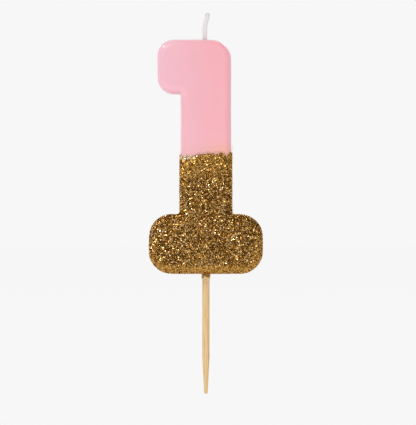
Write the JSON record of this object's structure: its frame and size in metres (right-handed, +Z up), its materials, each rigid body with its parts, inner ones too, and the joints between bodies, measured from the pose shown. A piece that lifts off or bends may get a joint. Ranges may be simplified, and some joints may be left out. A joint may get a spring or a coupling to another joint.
{
  "type": "number birthday candle",
  "caption": "Wax number one candle dipped in a glossy skin, with a glitter-coated lower half, a cotton wick on top and a pointed wooden pick below.",
  "frame": {"origin": "on the pick's axis, level with the flat underside of the numeral's base", "axes": "+Z up towards the wick, the front of the numeral faces -Y and its flag points to -X"},
  "size_m": [0.0358, 0.0116, 0.1201],
  "materials": {
    "wax": "satin",
    "skin": "gloss",
    "glue": "gloss",
    "glitter": "satin",
    "wick": "matte",
    "wood": "matte"
  },
  "bodies": {
    "root": {"wax_core": "wax", "dip_skin": "skin", "glue_film": "glue", "glitter_coat": "glitter", "wick": "wick", "pick": "wood", "pick_glue": "glue", "pick_cuff": "glitter"}
  },
  "joints": []
}
